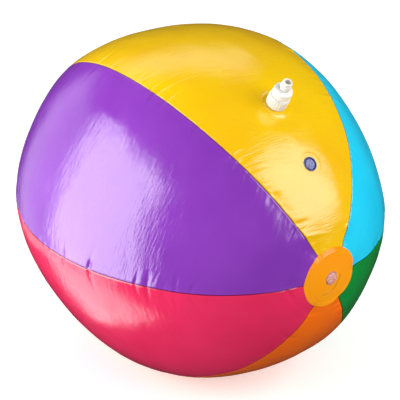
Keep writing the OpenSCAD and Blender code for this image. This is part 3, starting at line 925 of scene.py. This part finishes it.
def flapEdge(r, z, a):      # a tab at the top joins the flap to the stem
    tab = max(0.0, 1 - abs(math.atan2(math.sin(a - math.pi / 2), math.cos(a - math.pi / 2))) / 0.30)
    return (r + 0.75 * min(tab * 2.5, 1), z) if r > 4 else (r, z)


flap = turned("air_flap", [(0, -17.16, 0), (4.6, -17.16, 0), (5.3, -17.16, 0.12), (5.3, -17.64, 0.12),
                           (4.6, -17.64, 0), (0, -17.64, 0)], airSeat, clearPink, closed=False, around=96,
              shape=flapEdge)
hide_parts("check_flap")
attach(flap, "air_flap")
print("valves ready")

# The hose fitting: a gripped collar that screws on a spigot and holds the nipple
fittingShape = {
    "grip": 16.1, "gripLow": 1.0, "gripHigh": 20.7, "ribs": 24, "ribHeight": 0.8,
    "groove": 13.95, "tierLow": 22.9, "tierHigh": 35.0, "tier": 15.4, "shoulder": 5.0,
    "neck": 6.7, "head": 8.6, "tip": 7.6, "bore": 4.75,
}


def makeFitting(seat, v):
    def ribs(r, z, a):
        if r < v["grip"] - 0.2:
            return r, z
        ends = min(max(z - v["gripLow"] - 1.2, 0), 1) * min(max(v["gripHigh"] - 1.2 - z, 0), 1)
        wave = max(0.0, math.cos(v["ribs"] * a)) ** 0.7
        return r + v["ribHeight"] * wave * ends, z

    low, high = v["gripLow"], v["gripHigh"]
    collar = turned("hose_collar_moulding", [
        (13.28, low, 0.3), (v["grip"], low, 0.6), (v["grip"], low + 1.2, 0), (v["grip"], low + 1.7, 0),
        (v["grip"], low + 2.2, 0), (v["grip"], high - 2.2, 0), (v["grip"], high - 1.7, 0),
        (v["grip"], high - 1.2, 0), (v["grip"], high, 0.6), (v["groove"], high, 0.25),
        (v["groove"], v["tierLow"], 0.25), (v["tier"], v["tierLow"], 0.5),
        (v["tier"], v["tierHigh"], v["shoulder"]), (7.28, v["tierHigh"], 0.4), (7.28, 29.1, 0.1),
        (13.28, 29.1, 0.1)], seat, whiteAbs, around=240, shape=ribs, steps=8)
    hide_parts("hose_collar")
    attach(collar, "collar")
    nipple = turned("hose_nipple_moulding", [
        (v["bore"], 26.02, 0.2), (12.8, 26.02, 0.2), (12.8, 29.02, 0.2), (v["neck"], 29.02, 0.2),
        (v["neck"], 38.7, 0.4), (v["head"], 40.0, 0.4), (v["head"], 46.0, 0.5), (v["tip"], 46.9, 0.3),
        (v["tip"], 47.8, 0.12), (6.1, 47.8, 0.1), (6.1, 49.8, 0.1), (v["tip"], 49.8, 0.12),
        (v["tip"], 51.6, 0.8), (v["bore"], 51.6, 0.5)], seat, whiteAbs, around=120)
    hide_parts("hose_nipple")
    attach(nipple, "nipple")
    washer = turned("washer_rubber", [(9.0, 24.05, 0.3), (12.8, 24.05, 0.3), (12.8, 26.0, 0.3),
                                      (9.0, 26.0, 0.3)], seat, blackRubber)
    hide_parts("inlet_washer")
    seal = turned("seal_silicone", [(7.0 + 0.9 * math.cos(a), 48.8 + 0.9 * math.sin(a), 0)
                                    for a in np.arange(16) / 16 * 2 * math.pi], seat, paleSilicone)
    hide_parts("nipple_seal")
    for piece in (washer, seal):
        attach(piece, "nipple")


makeFitting(inletSeat, fittingShape)
port = frame["nodes"]["inlet_port"]
port.data.materials.clear()
port.data.materials.append(whiteAbs)
print("hose fitting ready")

studio = {
    "sky": ((0.0, 0.50), (0.45, 0.54), (0.55, 0.50), (1.0, 0.42)),    # brightness from straight down to up
    "mirrored": 0.07,         # how much of it a glossy surface mirrors
    "floor": ("#fbfbfa", 0.6, 0.32),      # colour, roughness, glow
    # azimuth, elevation, distance, width, height, watts
    "left": (-108, 4, 2.6, 2.7, 3.3, 150),
    "sweep": (-158, -4, 3.0, 2.2, 3.4, 22),
    "low": (-124, -46, 2.6, 1.9, 1.4, 20),
    "back": (154, 50, 2.6, 2.3, 0.9, 7),
    "front": (26, 30, 3.0, 2.1, 2.8, 70),
}


def areaLight(name, v):
    azimuth, elevation, distance, wide, high, watts = v
    away = towards(azimuth, elevation)
    data = bpy.data.lights.new(name, "AREA")
    data.shape, data.size, data.size_y, data.energy = "RECTANGLE", wide, high, watts
    obj = placeObject(name, data)
    obj.location = ballMiddle + away * distance
    obj.rotation_mode = "QUATERNION"
    obj.rotation_quaternion = away.to_track_quat("Z", "Y")


def makeStudio(v):
    for name in ("left", "sweep", "low", "back", "front"):
        areaLight(name + " light", v[name])
    world = bpy.data.worlds.new("studio")
    world.use_nodes = True
    bpy.context.scene.world = world
    tree = world.node_tree
    tree.nodes.clear()
    way = addNode(tree, "ShaderNodeTexCoord").outputs["Generated"]
    up = addNode(tree, "ShaderNodeSeparateXYZ", {0: way})
    height = addNode(tree, "ShaderNodeMapRange", {"Value": up.outputs["Z"], "From Min": -1.0,
                                                  "From Max": 1.0})
    sky = addNode(tree, "ShaderNodeValToRGB", {"Fac": height.outputs["Result"]})
    setRamp(sky, [(at, (b, b, b, 1)) for at, b in v["sky"]])
    path = addNode(tree, "ShaderNodeLightPath")
    share = addNode(tree, "ShaderNodeMapRange", {"Value": path.outputs["Is Glossy Ray"],
                                                 "To Min": 1.0, "To Max": v["mirrored"]})
    light = addNode(tree, "ShaderNodeBackground", {"Color": sky.outputs["Color"],
                                                   "Strength": share.outputs["Result"]})
    addNode(tree, "ShaderNodeOutputWorld", {"Surface": light.outputs["Background"]})
    colour, rough, glow = v["floor"]
    mat, tree, out = newMaterial("matt white paper")      # seamless paper, a faint tooth
    place = addNode(tree, "ShaderNodeTexCoord").outputs["Object"]
    tooth = addNode(tree, "ShaderNodeTexNoise", {"Vector": place, "Scale": 400.0, "Detail": 2.0})
    bump = addNode(tree, "ShaderNodeBump", {"Height": tooth.outputs["Fac"], "Strength": 0.1,
                                            "Distance": 0.0002})
    paper = addNode(tree, "ShaderNodeBsdfPrincipled", {
        "Base Color": hexColour(colour), "Roughness": rough, "Emission Color": (1, 1, 1, 1),
        "Emission Strength": glow, "Normal": bump.outputs["Normal"]})
    tree.links.new(paper.outputs["BSDF"], out.inputs["Surface"])
    bm = bmesh.new()
    bmesh.ops.create_grid(bm, x_segments=4, y_segments=4, size=15)
    mesh = bpy.data.meshes.new("floor")
    bm.to_mesh(mesh)
    bm.free()
    mesh.materials.append(mat)
    floor = placeObject("floor", mesh)
    floor.visible_glossy = floor.visible_diffuse = False      # lit as if the ball stood on glass
    bpy.context.scene.view_settings.view_transform = "Standard"


makeStudio(studio)
print("studio ready")
